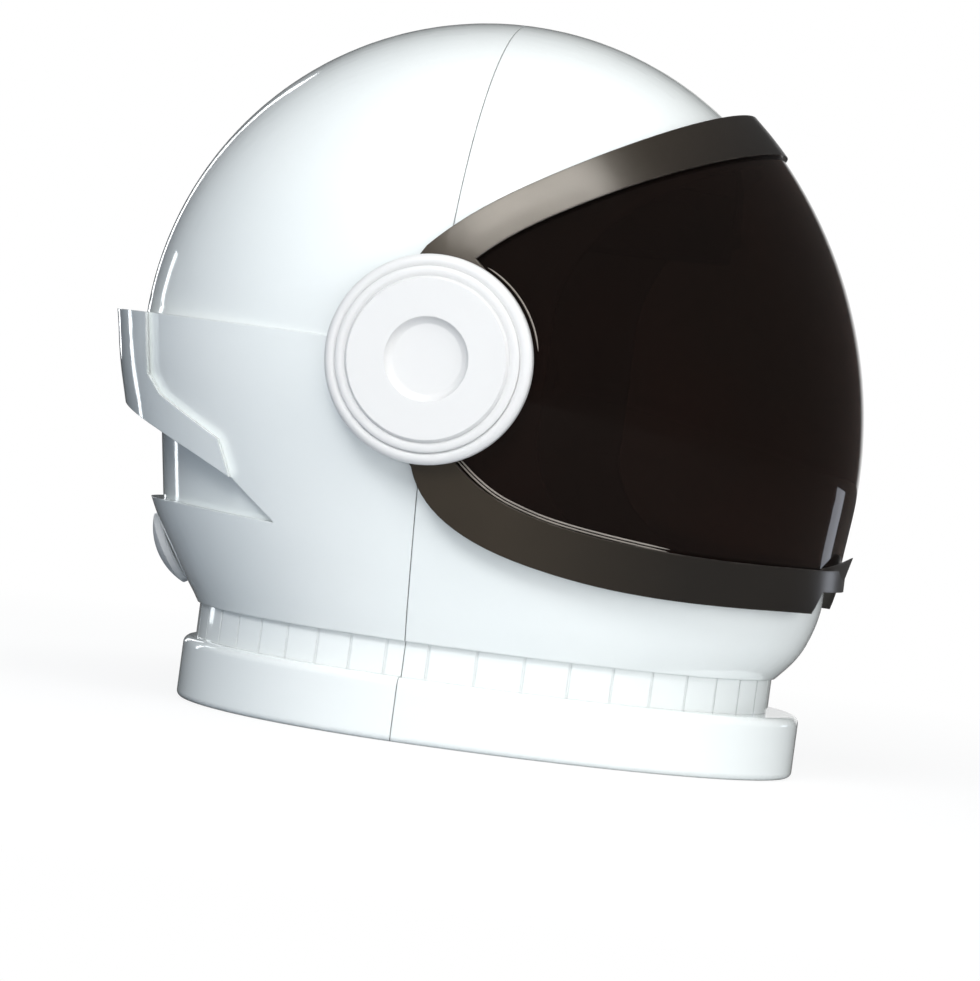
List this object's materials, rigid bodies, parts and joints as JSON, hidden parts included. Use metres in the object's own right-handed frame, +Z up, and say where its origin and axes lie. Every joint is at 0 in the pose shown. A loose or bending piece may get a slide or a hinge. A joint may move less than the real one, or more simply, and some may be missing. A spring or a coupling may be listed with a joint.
{
  "type": "astronaut helmet",
  "caption": "Round white helmet with a smoked swing-up visor, stepped ear caps, a grooved neck ring to stand on, an inner headband and a nape pad moved by a rear knob.",
  "frame": {"origin": "centre of the helmet's footprint, on the underside of the neck ring", "axes": "+X to the front of the helmet, +Y to the wearer's left, +Z up to the crown"},
  "size_m": [0.335, 0.31, 0.3102],
  "materials": {
    "shell_white": "glossy moulded white plastic",
    "cap_white": "semi-gloss moulded white plastic",
    "visor_smoke": "polished smoke-tinted see-through plastic",
    "visor_band": "satin brown-black smoked plastic",
    "screw_steel": "plain zinc-plated steel",
    "nylon": "natural white nylon",
    "black_plastic": "fine-textured black plastic",
    "pad_foam": "black knitted cloth over foam",
    "strap_webbing": "woven black webbing"
  },
  "bodies": {
    "shell": {"front_shell": "shell_white", "rear_shell": "shell_white", "seam_screws": "screw_steel", "ear_cap_left": "cap_white", "ear_cap_right": "cap_white", "ear_base_left": "cap_white", "ear_base_right": "cap_white", "friction_ring_left": "nylon", "friction_ring_right": "nylon", "pivot_washers": "screw_steel", "pivot_screws": "screw_steel", "adjuster_bush": "nylon", "adjuster_bracket": "black_plastic", "bracket_screws": "screw_steel", "headband": "black_plastic", "sweatband": "pad_foam", "crown_strap_long": "strap_webbing", "crown_strap_cross": "strap_webbing", "crown_pad": "pad_foam", "strap_rivets": "screw_steel", "suspension_struts": "black_plastic", "strut_pins": "screw_steel"},
    "visor": {"visor_window": "visor_smoke", "visor_frame": "visor_band"},
    "knob": {"adjuster_knob": "cap_white", "adjuster_spindle": "screw_steel", "spindle_clip": "screw_steel"},
    "nape": {"nape_carrier": "black_plastic", "nape_pad": "pad_foam"}
  },
  "joints": [
    {"name": "visor_pivot", "type": "hinge", "parent": "shell", "child": "visor", "pos_m": [-0.0033, 0, 0.1595], "axis": [0, -1, 0], "range_deg": [0, 68]},
    {"name": "knob_turn", "type": "hinge", "parent": "shell", "child": "knob", "pos_m": [-0.1293, 0, 0.0645], "axis": [0.8625, 0, 0.506], "range_deg": [0, 540]},
    {"name": "nape_slide", "type": "slide", "parent": "shell", "child": "nape", "axis": [0.8625, 0, 0.506], "range_m": [0, 0.0076]}
  ],
  "couplings": [
    {"joint": "nape_slide", "follows": "knob_turn", "m_per_rad": 0.00079577}
  ]
}
